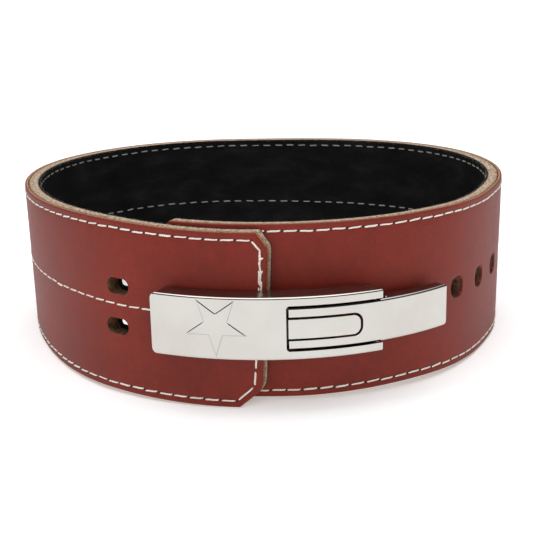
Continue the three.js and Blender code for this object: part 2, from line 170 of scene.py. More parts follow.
def buckle_point(across, depth, level):
    """Belt position of a point of the buckle: an arc length across, a depth inward and a level.

    The buckle sits a little aslant, so its levels fall evenly from its handle end to its prong end.
    """
    turn = across / BUCKLE_RADIUS
    radius = BUCKLE_RADIUS - depth
    x = BUCKLE_X + radius * np.sin(turn) - CENTRE[0]
    y = BUCKLE_FRONT + BUCKLE_RADIUS - radius * np.cos(turn) - CENTRE[1]
    fall = BUCKLE_FALL * (across - BUCKLE_LEVEL_AT)
    return np.stack((x, y, BUCKLE_LEVEL + level - fall), -1)


def make_object(name, points, faces, materials, face_slots=None, uv=None, depth=None):
    """A mesh object from an array of points in millimetres and one of quads, smooth but for sharp edges.

    face_slots gives each face its material, uv each point its map, and depth is kept as an attribute.
    """
    used, packed = np.unique(faces, return_inverse=True)
    faces = packed.reshape(faces.shape)
    points = points.reshape(-1, 3)[used] * MM
    mesh = bpy.data.meshes.new(name)
    mesh.from_pydata(points.tolist(), [], faces.tolist())
    for material in materials:
        mesh.materials.append(material)
    if face_slots is not None:
        mesh.polygons.foreach_set("material_index", face_slots.astype(np.int32))
    if uv is not None:
        layer = mesh.uv_layers.new(name="strap")
        layer.data.foreach_set("uv", uv.reshape(-1, 2)[used][faces.ravel()].astype(np.float32).ravel())
    if depth is not None:
        kept = mesh.attributes.new("depth", "FLOAT", "POINT")
        kept.data.foreach_set("value", depth[used].astype(np.float32))
    mesh.polygons.foreach_set("use_smooth", np.ones(len(faces), dtype=bool))
    mesh.set_sharp_from_angle(angle=math.radians(50))
    mesh.validate()
    made = bpy.data.objects.new(name, mesh)
    bpy.context.scene.collection.objects.link(made)
    return made


def closed(made):
    """Merges the points of each pole and caps each open ring, so that every shell of a piece is closed."""
    shell = bmesh.new()
    shell.from_mesh(made.data)
    bmesh.ops.remove_doubles(shell, verts=shell.verts, dist=SAME_PLACE)
    bmesh.ops.holes_fill(shell, edges=shell.edges, sides=0)
    bmesh.ops.recalc_face_normals(shell, faces=shell.faces)
    shell.to_mesh(made.data)
    shell.free()
    return made


def grid_faces(rows, columns, wrap=False):
    """Quads of a grid, as indices into its flattened points. wrap joins the last column to the first."""
    index = np.arange(rows * columns).reshape(rows, columns)
    if wrap:
        index = np.concatenate((index, index[:, :1]), 1)
    corners = (index[:-1, :-1], index[1:, :-1], index[1:, 1:], index[:-1, 1:])
    return np.stack(corners, -1).reshape(-1, 4)


def repeated_faces(rows, columns, count):
    """Quads of many small grids of one kind, each wrapped into a tube, one after the other."""
    tube = grid_faces(rows, columns, wrap=True)
    return (tube[None] + (np.arange(count) * rows * columns)[:, None, None]).reshape(-1, 4)


def plate_faces(keep):
    """Quads of a plate with holes: its front, its back and a wall along every edge of the kept cells.

    Front points come first in the plate's points, then back points. Returns quads and slots, where the
    front is slot 0, the back slot 1 and the walls slot 2.
    """
    rows, columns = keep.shape[0] + 1, keep.shape[1] + 1
    count = rows * columns
    front = grid_faces(rows, columns)[keep.ravel()]
    back = front[:, ::-1] + count
    index = np.arange(count).reshape(rows, columns)
    walls = []
    for points, cells, hand in ((index, keep, 1), (index.T, keep.T, -1)):
        change = hand * np.diff(np.pad(cells, ((1, 1), (0, 0))).astype(int), axis=0)
        starts, ends = points[:, :-1], points[:, 1:]
        for sign, first, second in ((1, ends, starts), (-1, starts, ends)):
            a, b = first[change == sign], second[change == sign]
            walls.append(np.stack((b, a, a + count, b + count), -1))
    wall = np.concatenate(walls)
    faces = np.concatenate((front, back, wall))
    slots = np.repeat((0, 1, 2), (len(front), len(back), len(wall)))
    return faces, slots


def oval_reach(x, y, half_length, half_height):
    """Distance from an oval's centre to its edge in the direction of (x, y)."""
    length = np.hypot(x, y) + 1e-9
    cosine, sine = np.abs(x) / length, np.abs(y) / length
    flat = half_length - half_height
    root = np.sqrt(np.maximum(half_height**2 - (flat * sine) ** 2, 0))
    straight = half_height / np.maximum(sine, 1e-9)
    return np.where(straight * cosine <= flat, straight, flat * cosine + root)


def open_hole(x, y, keep, centre, half, spread):
    """Takes the cells of a hole out of a grid and eases the grid's points round it onto its edge.

    The block of cells nearest the hole goes. A point on the block's edge moves straight out from the
    centre onto the oval, and further points move less, fading to none at spread times the block.
    """
    block = BLOCK_SHARE * np.array(half)
    column = slice(*np.searchsorted(x[:, 0], (centre[0] - block[0], centre[0] + block[0])))
    row = slice(*np.searchsorted(y[0], (centre[1] - block[1], centre[1] + block[1])))
    low = np.array((x[column.start, 0], y[0, row.start]))
    high = np.array((x[column.stop, 0], y[0, row.stop]))
    keep[column, row] = False
    middle = (low + high) / 2
    reach = (high - low) / 2
    dx, dy = x - middle[0], y - middle[1]
    ring = np.maximum(np.maximum(np.abs(dx) / reach[0], np.abs(dy) / reach[1]), 1e-6)
    edge_x, edge_y = dx / ring, dy / ring
    target = oval_reach(edge_x, edge_y, *half) / (np.hypot(edge_x, edge_y) + 1e-9)
    share = np.clip((spread - ring) / (spread - 1), 0, 1)
    share = share * share * (3 - 2 * share)
    moved_x = x + share * (edge_x * (target - 1) + centre[0] - middle[0])
    moved_y = y + share * (edge_y * (target - 1) + centre[1] - middle[1])
    return moved_x, moved_y


def steps(stops, sizes):
    """Rising numbers from stop to stop, each stretch cut evenly to about its own step size."""
    parts = [np.linspace(a, b, max(2, round((b - a) / size) + 1))[:-1]
             for a, b, size in zip(stops[:-1], stops[1:], sizes)]
    return np.concatenate(parts + [np.array((stops[-1],))])


def end_runs(height):
    """Runs of the outer and the inner end of the strap at each height."""
    outer = np.interp(height, ENDS[:, 0], run_at(ENDS[:, 1]))
    inner = np.interp(height, ENDS[:, 0], run_at(ENDS[:, 2]))
    return outer, inner


def edge_distance(run, height):
    """Distance of a point of the flat strap from its outline, cut corners included."""
    outer, inner = end_runs(height)
    sides = (height, STRAP_HEIGHT - height, (run - outer) * CORNER_SLANT, (inner - run) * CORNER_SLANT)
    return np.maximum(np.min(np.stack(np.broadcast_arrays(*sides)), axis=0), 0)


def rounding(distance, radius):
    """Depth of a quarter-round edge at each distance from it."""
    inside = np.clip(radius - distance, 0, radius)
    return radius - np.sqrt(np.maximum(radius**2 - inside**2, 0))


def suede_fibres(name, material):
    """Loose fibres along the lining's top edge: thin three-sided spikes at random leans and lengths.

    Each runs straight from a ring of FIBRE_THICK on the cut edge to a ring 0.15 times as wide.
    """
    chance = np.random.default_rng(5)
    outer, inner = run_at(ENDS[3, 1]) + 1, run_at(ENDS[3, 2]) - 1
    base = np.stack((chance.uniform(outer, inner, FIBRES), chance.uniform(*FIBRE_LEVELS, FIBRES),
                     chance.uniform(*FIBRE_DEPTHS, FIBRES)), -1)
    lean = np.stack((chance.normal(0, 0.6, FIBRES), chance.uniform(-0.3, 0.6, FIBRES),
                     chance.uniform(0.1, 1.2, FIBRES)), -1)
    turn = np.linspace(0, 2 * math.pi, 3, endpoint=False)
    ring = np.stack((np.cos(turn), 0 * turn, np.sin(turn)), -1) * FIBRE_THICK
    spike = np.stack((base[:, None] + ring, base[:, None] + lean[:, None] + 0.15 * ring), 1)
    points = strap_point(angle_at(spike[..., 0]), spike[..., 1], spike[..., 2])
    return closed(make_object(name, points, repeated_faces(2, 3, FIBRES), [material]))


def hole_distance(run, height):
    """Distance of a point of the flat strap from the nearest prong hole's edge."""
    away = [np.hypot(run - hole, height - PRONG_HOLE_LEVEL) for hole in prong_hole_runs()]
    return np.maximum(np.min(away, axis=0) - PRONG_HOLE_RADIUS, 0)


def strap_layer(name, depths, front_round, back_round, groove, ragged, materials):
    """One layer of the strap: a grid of runs by heights on both faces, its holes opened, edges rounded.

    The front sinks by groove * exp(-(d / w)^2) under the seam. ragged is how much smaller the layer's
    fit holes are each way than those of the outer leather, and half of it goes off a prong hole's radius.
    """
    holes = prong_hole_runs()
    fit_run = run_at(FIT_HOLE_AT)
    outer, inner = run_at(ENDS[1, 1]), run_at(ENDS[1, 2])
    stops = (outer, outer + 3, fit_run - FINE_BESIDE_FIT, fit_run + FINE_BESIDE_FIT,
             holes[0] - FINE_BESIDE_PRONG, holes[-1] + FINE_BESIDE_PRONG, inner - 3, inner)
    run = steps(stops, (END_STEP, PLAIN_STEP, FINE_STEP, PLAIN_STEP, FINE_STEP, PLAIN_STEP, END_STEP))
    by_edge = (1,) * (len(EDGE_ROWS) - 1)
    height = steps(EDGE_ROWS + FINE_ROWS + tuple(STRAP_HEIGHT - row for row in reversed(EDGE_ROWS)),
                   by_edge + (3.6, FINE_ROW_STEP, 3.4) + by_edge)
    x, y = (np.array(a) for a in np.meshgrid(run, height, indexing="ij"))
    keep = np.ones((len(run) - 1, len(height) - 1), dtype=bool)
    for level in FIT_HOLE_LEVELS:
        x, y = open_hole_at(x, y, keep, run, height, (fit_run, level),
                            np.array(FIT_HOLE_HALF) - ragged, 1.5)
    for hole in holes:
        x, y = open_hole_at(x, y, keep, run, height, (hole, PRONG_HOLE_LEVEL),
                            (PRONG_HOLE_RADIUS - 0.5 * ragged,) * 2, 2.1)
    start, stop = end_runs(y)
    near_outer = np.clip(1 - (x - outer) / END_REACH, 0, 1)
    x = x + (start - outer) * near_outer
    x = x + (stop - inner) * np.clip(1 - (inner - x) / END_REACH, 0, 1)
    distance = edge_distance(x, y)
    sunk = groove * np.exp(-((distance - SEAM_INSET) / SEAM_GROOVE_HALF) ** 2)
    worn = rounding(hole_distance(x, y), front_round * HOLE_WEAR)
    front = depths[0] + rounding(distance, front_round) + sunk + worn
    back = depths[1] - rounding(distance, back_round)
    points = np.concatenate([
        strap_point(angle_at(x - END_SLANT * depth * near_outer), y, depth).reshape(-1, 3)
        for depth in (front, back)])
    uv = np.tile(np.stack((x, y), -1).reshape(-1, 2) * MM, (2, 1))
    faces, slots = plate_faces(keep)
    middle = np.tile(distance.reshape(-1), 2)[faces].mean(1)
    near_hole = np.tile(hole_distance(x, y).reshape(-1), 2)[faces].mean(1)
    slots[(slots == 2) & (middle > 2)] = 3
    slots[(slots == 0) & (near_hole < HOLE_RIM)] = 4
    depth = np.repeat((0.0, 1.0), distance.size)
    return make_object(name, points, faces[:, ::-1], materials, slots, uv, depth)


def open_hole_at(x, y, keep, run, height, centre, half, spread):
    """Opens a hole by the plain grid's own lines, so that holes side by side don't disturb each other."""
    plain_x, plain_y = np.meshgrid(run, height, indexing="ij")
    moved_x, moved_y = open_hole(plain_x, plain_y, keep, centre, half, spread)
    return x + moved_x - plain_x, y + moved_y - plain_y


# Sewing: pitch along the outer face, distance from the edge, the middle seam, and each pod's grid
STITCH_PITCH, SEAM_INSET = 9.2, 4.0
MIDDLE_SEAM_LEVEL, MIDDLE_SEAM = 51.8, (24.0, 262.0)
STITCH_RINGS, STITCH_SIDES, MARK_SIDES = 11, 8, 10
STITCH_SWAY, MARK_LONG, MARK_WIDE = 0.13, 1.25, 1.6


def inset_outline():
    """Corners of the seam that follows the strap's outline: each side moved in, then met again."""
    runs = np.stack((run_at(ENDS[:, 1]), ENDS[:, 0]), -1)
    back = np.stack((run_at(ENDS[::-1, 2]), ENDS[::-1, 0]), -1)
    corners = np.concatenate((runs, back))
    following = np.roll(corners, -1, axis=0)
    along = following - corners
    along = along / np.linalg.norm(along, axis=1, keepdims=True)
    inward = np.stack((along[:, 1], -along[:, 0]), -1)
    moved = corners + inward * SEAM_INSET
    before, turn_before = np.roll(moved, 1, axis=0), np.roll(along, 1, axis=0)
    cross = turn_before[:, 0] * along[:, 1] - turn_before[:, 1] * along[:, 0]
    gap = moved - before
    share = (gap[:, 0] * along[:, 1] - gap[:, 1] * along[:, 0]) / cross
    return before + turn_before * share[:, None]


def stitch_places(corners, pitch):
    """Centres and unit directions of stitches at an even pitch along a line of corners."""
    legs = np.diff(corners, axis=0)
    lengths = np.linalg.norm(legs, axis=1)
    counts = np.maximum(np.round(lengths / pitch).astype(int), 1)
    leg = np.repeat(np.arange(len(legs)), counts)
    order = np.arange(counts.sum()) - np.repeat(np.cumsum(counts) - counts, counts)
    share = (order + 0.5) / counts[leg]
    places = corners[leg] + legs[leg] * share[:, None]
    return places, legs[leg] / lengths[leg][:, None], (lengths / counts)[leg]


def seam_places():
    """Every stitch of the belt: the outline's closed seam and the middle one."""
    outline = inset_outline()
    around = np.concatenate((outline, outline[:1]))
    middle = np.array([(run_at(angle), MIDDLE_SEAM_LEVEL) for angle in MIDDLE_SEAM])
    rows = [stitch_places(line, STITCH_PITCH) for line in (around, middle)]
    return [np.concatenate(parts) for parts in zip(*rows)]


def tie_off():
    """The stitches sewn over the end seam again near its top, by distance down from its corner."""
    corner = inset_outline()[2]
    down = np.array((1.2, 4.0, 8.5, 12.0, 15.5, 20.0, 25.0))
    aside = np.array((0.2, -0.35, 0.3, -0.2, 0.45, -0.1, 0.1))
    turned = np.radians((95, 150, 84, 120, 92, 96, 87))
    places = np.stack((corner[0] + aside, corner[1] - down), -1)
    lengths = np.array((6.5, 3.6, 8.0, 4.2, 8.4, 8.8, 7.5))
    return places, np.stack((np.cos(turned), np.sin(turned)), -1), lengths


def laid_out(places, direction, along, sideways):
    """Runs and heights of points that lie along and beside each place of a seam."""
    run, height = (places[:, axis][:, None, None] for axis in (0, 1))
    dx, dy = (direction[:, axis][:, None, None] for axis in (0, 1))
    return run + along * dx - sideways * dy, height + along * dy + sideways * dx


def stitches(name, side_depth, outward, cover, half_width, rise, slant, material, seed):
    """Stitches as small pods. Along a stitch a goes from -1 to 1 and b goes round it.

    Its centre line dips at both ends by a^10 and sways by sin(pi a), and its section is an ellipse
    that narrows by sqrt(1 - a^6). outward is 1 on the outer face and -1 inside. cover is the share of
    the pitch that shows, rise the pod's half height, and slant its turn off the seam, with a spread.
    """
    rows = [seam_places()] + ([tie_off()] if outward > 0 else [])
    places, direction, pitch = [np.concatenate(parts) for parts in zip(*rows)]
    chance = np.random.default_rng(seed)
    count = len(places)
    slanted = slant + chance.normal(0, 0.035, count)
    shift = chance.normal(0, 0.12, (count, 2))
    fat = 1 + chance.normal(0, 0.08, count)
    a = np.linspace(-1, 1, STITCH_RINGS)[None, :, None]
    b = np.linspace(0, 2 * math.pi, STITCH_SIDES, endpoint=False)[None, None, :]
    half = (pitch * cover / 2)[:, None, None]
    narrow = np.sqrt(np.maximum(1 - a**6, 0.02)) * fat[:, None, None]
    sway = STITCH_SWAY * np.sin(math.pi * a)
    along = a * half + 0 * b
    sideways = half_width * narrow * np.cos(b) + along * np.tan(slanted)[:, None, None] + sway
    above = rise * narrow * np.sin(b) + 0.45 * rise - 1.6 * rise * a**10
    run, height = laid_out(places + shift, direction, along, sideways)
    points = strap_point(angle_at(run), height, side_depth - outward * above)
    faces = repeated_faces(STITCH_RINGS, STITCH_SIDES, count)
    share = np.stack(np.broadcast_arrays(along, b / (2 * math.pi) + 0 * along), -1) * (MM, 1)
    return closed(make_object(name, points, faces, [material], uv=share.reshape(-1, 2)))


def needle_holes(name, depth, half_width, material):
    """Flat dark pods at the ends of the outside stitches, painted shade of the needle holes: two oval rings
    between two middle points each.
    """
    places, direction, pitch = seam_places()
    ends = places - direction * (pitch / 2)[:, None]
    turn = np.linspace(0, 2 * math.pi, MARK_SIDES, endpoint=False)[None, None, :]
    size = np.array((0.0, 1.0, 0.7, 0.0))[None, :, None]
    above = np.array((-0.2, -0.1, 0.10, 0.12))[None, :, None] + 0 * turn
    along = size * half_width * MARK_LONG * np.cos(turn)
    sideways = size * half_width * MARK_WIDE * np.sin(turn)
    run, height = laid_out(ends, direction, along, sideways)
    points = strap_point(angle_at(run), height, depth - above)
    faces = repeated_faces(size.size, MARK_SIDES, len(ends))
    return closed(make_object(name, points, faces, [material]))


# Lever, prong plate and the raised star, in millimetres on the buckle's arcs
LEVER_LEFT, LEVER_RIGHT, LEVER_HALF, LEVER_PLATE, LEVER_BEND = -66.4, 66.4, 18.0, 1.8, 1.3
LEVER_WALL_LOW, LEVER_WALL_HIGH, HEEL_LONG, HEEL_RISE = 11.2, 13.6, 4.0, 4.5
LEVER_CORNERS, FORK_CORNERS = (3.6, 4.0), (0.8, 0.8)
SLOT_LEFT, SLOT_HALF, SLOT_CORNER = 10.4, 13.05, 2.0
TONGUE_RIGHT, TONGUE_HALF, TONGUE_CORNER = 52.8, 5.5, 4.3
TONGUE_STEP, TONGUE_PLATE, TONGUE_LEVEL = 0.5, 1.4, -0.4
TONGUE_GROOVE, TONGUE_GROOVE_DEPTH = 1.1, 1.1
LINK_LEFT, LINK_RIGHT, LINK_HALF, LINK_LEVEL = 11.9, 114.4, 12.4, -0.25
LINK_FRONT, LINK_PLATE, LINK_CORNERS = 0.6, 1.7, (1.6, 3.0)
LINK_CUT_RIGHT, LINK_CUT_HALF, LINK_CUT_CORNER, LINK_CUT_LEVEL = 54.35, 6.85, 5.5, -0.1
LINK_WALL_LEFT, LINK_WALL_DEEP, LINK_WALL_SHALLOW, LINK_BEND = 70.0, 9.5, 7.2, 1.6
CORNER_FADE = 1.6
KNUCKLE_RADIUS, KNUCKLE_EDGE, TURNED_SIDES = 2.9, 0.3, 40
PRONG_RADIUS, PRONG_BOSS, PRONG_REACH, PRONG_END, PRONG_SHIFT = 3.3, 6.0, 10.2, 5.5, 0.2
STAR_AT, STAR_LEVEL, STAR_OUTER, STAR_INNER = -28.4, 1.8, 19.2, 7.35
STAR_RISE, STAR_SLOPE, STAR_INSCRIBED = 0.3, 0.75, 5.5


def bend_turn(q, half, bend):
    """How far round its bend a channel's skin has turned at q, from 0 on the face to a quarter turn."""
    return np.clip(np.abs(q) - half + bend, 0, bend * math.pi / 2) / bend


def skin_level(q, half, bend):
    """Level of a channel's skin at q: along the face, then bend * sin(turn) round the bend."""
    return np.sign(q) * (np.minimum(np.abs(q), half - bend) + bend * np.sin(bend_turn(q, half, bend)))


def channel(q, half, bend, wall_low, wall_high, front, thickness):
    """A bent channel: its skin runs along one wall, round a bend, over the face and down the other wall.

    q counts the skin's length from the face's middle line, and wall depths may vary across. Returns
    the level and depth of the outer skin and of the inner skin, one thickness in along the normal.
    """
    side = np.sign(q)
    turn = bend_turn(q, half, bend)
    level = skin_level(q, half, bend)
    wall = np.where(side > 0, wall_high, wall_low) - front - bend
    down = np.clip(np.abs(q) - half + bend - bend * math.pi / 2, 0, 1) * np.maximum(wall, 0)
    depth = front + bend * (1 - np.cos(turn)) + down
    inner_level = level - side * thickness * np.sin(turn)
    inner_depth = depth + thickness * np.cos(turn)
    return level, depth, inner_level, inner_depth


def channel_rows(face_rows, half, bend, wall_rows):
    """Row values q of a channel: the given rows over its face, then each bend and wall."""
    flat = half - bend
    quarter = bend * math.pi / 2
    bend_rows = flat + quarter * np.linspace(0, 1, 7)[1:]
    wall = flat + quarter + np.linspace(0, 1, wall_rows + 1)[1:]
    side = np.concatenate((bend_rows, wall))
    face = np.array(face_rows)
    return np.concatenate((-side[::-1], face, side))


def bent_channel(name, across, q, keep, shape, warp, shaded, materials):
    """A channel piece from its grid. warp moves the plain grid's points, and shape gives its skins.

    shaded gives each face its material by its place and by whether it is a cut wall or the inside; the side
    walls, the slot's cut walls and the inside get steels darkened as painted shade.
    """
    x, y = warp(*np.meshgrid(across, q, indexing="ij"))
    level, depth, inner_level, inner_depth = shape(x, y)
    outer = buckle_point(x, depth, level)
    inner = buckle_point(x, inner_depth, inner_level)
    points = np.concatenate((outer.reshape(-1, 3), inner.reshape(-1, 3)))
    faces, slots = plate_faces(keep)
    flat = np.tile(np.stack((x, y), -1).reshape(-1, 2), (2, 1))
    middle = flat[faces].mean(1)
    shaded_steel = shaded(middle[:, 0], middle[:, 1], slots)
    made = make_object(name, points, faces, materials, shaded_steel)
    finish_edges(made, 0.2)
    return made


def finish_edges(made, width):
    """Rounds a steel piece's sharp edges with a small bevel."""
    bevel = made.modifiers.new("edges", "BEVEL")
    bevel.width = width * MM
    bevel.segments = 2
    bevel.limit_method = "ANGLE"
    bevel.angle_limit = math.radians(50)
    bevel.harden_normals = True


def corner_round(x, y, corner_x, corner_y, radius, side_x, side_y):
    """Moves grid points near a square corner onto a round one.

    Square rings about the corner's inner centre become arcs of the same size, and past the corner
    the move fades to none at CORNER_FADE times its radius.
    """
    centre_x, centre_y = corner_x - side_x * radius, corner_y - side_y * radius
    dx, dy = (x - centre_x) * side_x, (y - centre_y) * side_y
    ring = np.maximum(dx, dy)
    share = np.clip((CORNER_FADE * radius - ring) / ((CORNER_FADE - 1) * radius), 0, 1)
    inside = (dx > 0) & (dy > 0)
    scale = np.where(inside, 1 + share * (ring / (np.hypot(dx, dy) + 1e-9) - 1), 1)
    return centre_x + side_x * dx * scale, centre_y + side_y * dy * scale


def end_round(x, level, end, half, radius, side):
    """Moves a channel's end back towards its long edges, so that its two corners are round.

    The move is radius - sqrt(radius^2 - d^2), where d is the distance into the corner, and it fades
    over three radii along the piece. radius may differ for the upper and the lower corner.
    """
    at = np.where(level > 0, radius[0], radius[1])
    into = np.clip(np.abs(level) - (half - at), 0, at)
    back = at - np.sqrt(np.maximum(at**2 - into**2, 0))
    share = np.clip(1 - np.abs(x - end) / (3 * at), 0, 1)
    return x - side * back * share


def lever_piece(materials):
    """The lever: a channel with a slot that is open to the right, round corners and a rounded heel."""
    flat = LEVER_HALF - LEVER_BEND
    rows = steps((-flat, -SLOT_HALF, -SLOT_HALF + SLOT_CORNER, SLOT_HALF - SLOT_CORNER, SLOT_HALF, flat),
                 (0.7, 0.4, 1.2, 0.4, 0.7))
    q = channel_rows(rows, LEVER_HALF, LEVER_BEND, 6)
    across = steps((LEVER_LEFT, LEVER_LEFT + 5, SLOT_LEFT - 3, SLOT_LEFT, SLOT_LEFT + SLOT_CORNER,
                    LEVER_RIGHT - HEEL_LONG, LEVER_RIGHT), (0.4, 1.4, 0.6, 0.4, 1.4, 0.4))
    middle_x = (across[:-1] + across[1:]) / 2
    middle_q = (q[:-1] + q[1:]) / 2
    keep = ~((middle_x[:, None] > SLOT_LEFT) & (np.abs(middle_q)[None] < SLOT_HALF))

    def warp(x, y):
        for side in (-1, 1):
            x, y = corner_round(x, y, SLOT_LEFT, side * SLOT_HALF, SLOT_CORNER, -1, side)
        level = skin_level(y, LEVER_HALF, LEVER_BEND)
        x = end_round(x, level, LEVER_LEFT, LEVER_HALF, LEVER_CORNERS, -1)
        return end_round(x, level, LEVER_RIGHT, LEVER_HALF, FORK_CORNERS, 1), y

    def shape(x, y):
        heel = HEEL_RISE * np.clip((x - LEVER_RIGHT + HEEL_LONG) / HEEL_LONG, 0, 1) ** 2
        low, high = LEVER_WALL_LOW - heel, LEVER_WALL_HIGH - heel
        return channel(y, LEVER_HALF, LEVER_BEND, low, high, 0.0, LEVER_PLATE)

    def shaded(x, y, slots):
        # Painted shade: side walls get the darker side steel, the inside the inner steel, and the slot's cut
        # walls the near-black slot steel.
        wall = (slots == 0) & (np.abs(y) > flat + LEVER_BEND * 1.3)
        in_slot = (slots == 2) & (np.abs(y) < SLOT_HALF + 0.5) & (x > SLOT_LEFT - 1)
        return np.select((wall, slots == 1, in_slot), (2, 3, 1), 0)

    return bent_channel("lever_channel", across, q, keep, shape, warp, shaded, materials)


def tongue_piece(materials):
    """The tongue in the slot: a thin bent strip below the lever's face, a groove at its root, a round end."""
    inner = TONGUE_HALF - TONGUE_CORNER
    groove = SLOT_LEFT + TONGUE_GROOVE
    across = steps((SLOT_LEFT - 3, groove, groove + 0.15, TONGUE_RIGHT - TONGUE_CORNER, TONGUE_RIGHT),
                   (1.0, 0.15, 1.2, 0.5))
    rows = TONGUE_LEVEL + steps((-TONGUE_HALF, -inner, inner, TONGUE_HALF), (0.5, 1.0, 0.5))
    x, y = np.meshgrid(across, rows, indexing="ij")
    for side in (-1, 1):
        x, y = corner_round(x, y, TONGUE_RIGHT, TONGUE_LEVEL + side * TONGUE_HALF, TONGUE_CORNER, 1, side)
    keep = np.ones((len(across) - 1, len(rows) - 1), dtype=bool)
    sunk = TONGUE_GROOVE_DEPTH * (x < groove + 0.1)
    front = buckle_point(x, TONGUE_STEP + sunk, y)
    back = buckle_point(x, TONGUE_STEP + TONGUE_PLATE + 0 * x, y)
    points = np.concatenate((front.reshape(-1, 3), back.reshape(-1, 3)))
    faces, slots = plate_faces(keep)
    in_groove = np.tile(x.reshape(-1), 2)[faces].mean(1) < groove + 0.1
    # Painted shade: the tongue's walls, back and root groove get the near-black slot steel.
    made = make_object("lever_tongue", points, faces, materials, ((slots > 0) | in_groove).astype(int))
    finish_edges(made, 0.15)
    return made


def prong_plate_piece(materials):
    """The prong plate: two arms left of a round-ended cut, then a face whose walls deepen to the right."""
    flat = LINK_HALF - LINK_BEND
    cut_low, cut_high = LINK_CUT_LEVEL - LINK_CUT_HALF, LINK_CUT_LEVEL + LINK_CUT_HALF
    rows = steps((-flat, cut_low, cut_low + LINK_CUT_CORNER, cut_high - LINK_CUT_CORNER, cut_high, flat),
                 (0.8, 0.5, 0.6, 0.5, 0.8))
    q = channel_rows(rows, LINK_HALF, LINK_BEND, 4)
    across = steps((LINK_LEFT, LINK_CUT_RIGHT - LINK_CUT_CORNER, LINK_CUT_RIGHT, LINK_CUT_RIGHT + 8,
                    LINK_WALL_LEFT + 4, LINK_RIGHT - 4, LINK_RIGHT), (1.3, 0.5, 0.7, 1.0, 1.3, 0.4))
    middle_x = (across[:-1] + across[1:]) / 2
    middle_q = (q[:-1] + q[1:]) / 2
    in_cut = (middle_q > cut_low) & (middle_q < cut_high)
    keep = ~((middle_x[:, None] < LINK_CUT_RIGHT) & in_cut[None])

    def warp(x, y):
        x, y = corner_round(x, y, LINK_CUT_RIGHT, cut_low, LINK_CUT_CORNER, 1, -1)
        x, y = corner_round(x, y, LINK_CUT_RIGHT, cut_high, LINK_CUT_CORNER, 1, 1)
        level = skin_level(y, LINK_HALF, LINK_BEND)
        return end_round(x, level, LINK_RIGHT, LINK_HALF, LINK_CORNERS, 1), y

    def shape(x, y):
        share = np.clip((x - LINK_WALL_LEFT) / 4, 0, 1)
        fall = np.clip((x - LINK_WALL_LEFT) / (LINK_RIGHT - LINK_WALL_LEFT), 0, 1)
        deep = LINK_WALL_DEEP + (LINK_WALL_SHALLOW - LINK_WALL_DEEP) * fall
        plate = LINK_FRONT + LINK_PLATE
        wall = plate + (deep - plate) * share * share * (3 - 2 * share)
        level, depth, inner_level, inner_depth = channel(
            y, LINK_HALF, LINK_BEND, wall, wall, LINK_FRONT, LINK_PLATE)
        return level + LINK_LEVEL, depth, inner_level + LINK_LEVEL, inner_depth

    def shaded(x, y, slots):
        # Painted shade: side walls get the darker side steel, the inside the inner steel, and the cut walls
        # and edge rolls inside the lever's slot the near-black slot steel.
        in_slot = x < LEVER_RIGHT - 1
        wall = (slots == 0) & (np.abs(y) > flat + LINK_BEND) & ~in_slot
        edge = in_slot & ((slots == 2) | ((slots == 0) & (np.abs(y) > flat + 0.4)))
        return np.select((wall, slots == 1, edge), (2, 3, 1), 0)

    return bent_channel("prong_plate_channel", across, q, keep, shape, warp, shaded, materials)


def star_piece(materials):
    """The raised star: straight edges between ten corners on two radii, a sloped rim and a flat top.

    Rings run from the middle of the underside out to the foot, up the slope and in over the top.
    """
    corner_turns = np.radians(-90 + 36 * np.arange(11))
    radii = np.where(np.arange(11) % 2 == 0, STAR_OUTER, STAR_INNER)
    corners = np.stack((radii * np.cos(corner_turns), radii * np.sin(corner_turns)), -1)
    between = np.arange(0, 10, 0.125)
    outline = np.stack([np.interp(between, np.arange(11), corners[:, axis]) for axis in (0, 1)], -1)
    slope_share = 1 - STAR_SLOPE / STAR_INSCRIBED
    sizes = np.array((0.0, 1.0, slope_share, slope_share - 0.03, 0.6, 0.3, 0.0))
    depths = np.array((0.2, 0.2, -STAR_RISE, -STAR_RISE, -STAR_RISE, -STAR_RISE, -STAR_RISE))
    x = STAR_AT + sizes[:, None] * outline[None, :, 0]
    y = STAR_LEVEL + sizes[:, None] * outline[None, :, 1]
    points = buckle_point(x, depths[:, None] + 0 * x, y)
    faces = grid_faces(len(sizes), len(outline), wrap=True)
    # The sloped rim gets the darker copy of the polished steel, painted shade.
    slope = np.repeat(np.arange(len(sizes) - 1) == 1, len(outline))
    return closed(make_object("lever_star", points, faces, materials, slope))


def turned_piece(name, profile, place, axis, materials):
    """A turned piece: a profile of (radius, height) carried round an axis through a place."""
    axis = np.array(axis) / np.linalg.norm(axis)
    side = np.cross(axis, (0.3, 0.2, 0.9))
    side = side / np.linalg.norm(side)
    third = np.cross(axis, side)
    turn = np.linspace(0, 2 * math.pi, TURNED_SIDES, endpoint=False)[None, :, None]
    radius, height = (np.array(c)[:, None, None] for c in zip(*profile))
    ring = side * np.cos(turn) + third * np.sin(turn)
    points = np.array(place) + radius * ring + height * axis
    faces = grid_faces(len(profile), TURNED_SIDES, wrap=True)
    return closed(make_object(name, points, faces, materials))


def upright_roll(name, across, depth, radius, low, high, materials):
    """An upright round bar of the buckle with worked edges."""
    worn = radius - KNUCKLE_EDGE
    profile = ((0.0, low), (worn, low), (radius, low + KNUCKLE_EDGE), (radius, high - KNUCKLE_EDGE),
               (worn, high), (0.0, high))
    place = buckle_point(np.array(across), np.array(depth), np.array(0.0))
    return turned_piece(name, profile, place, (0.0, 0.0, 1.0), materials)


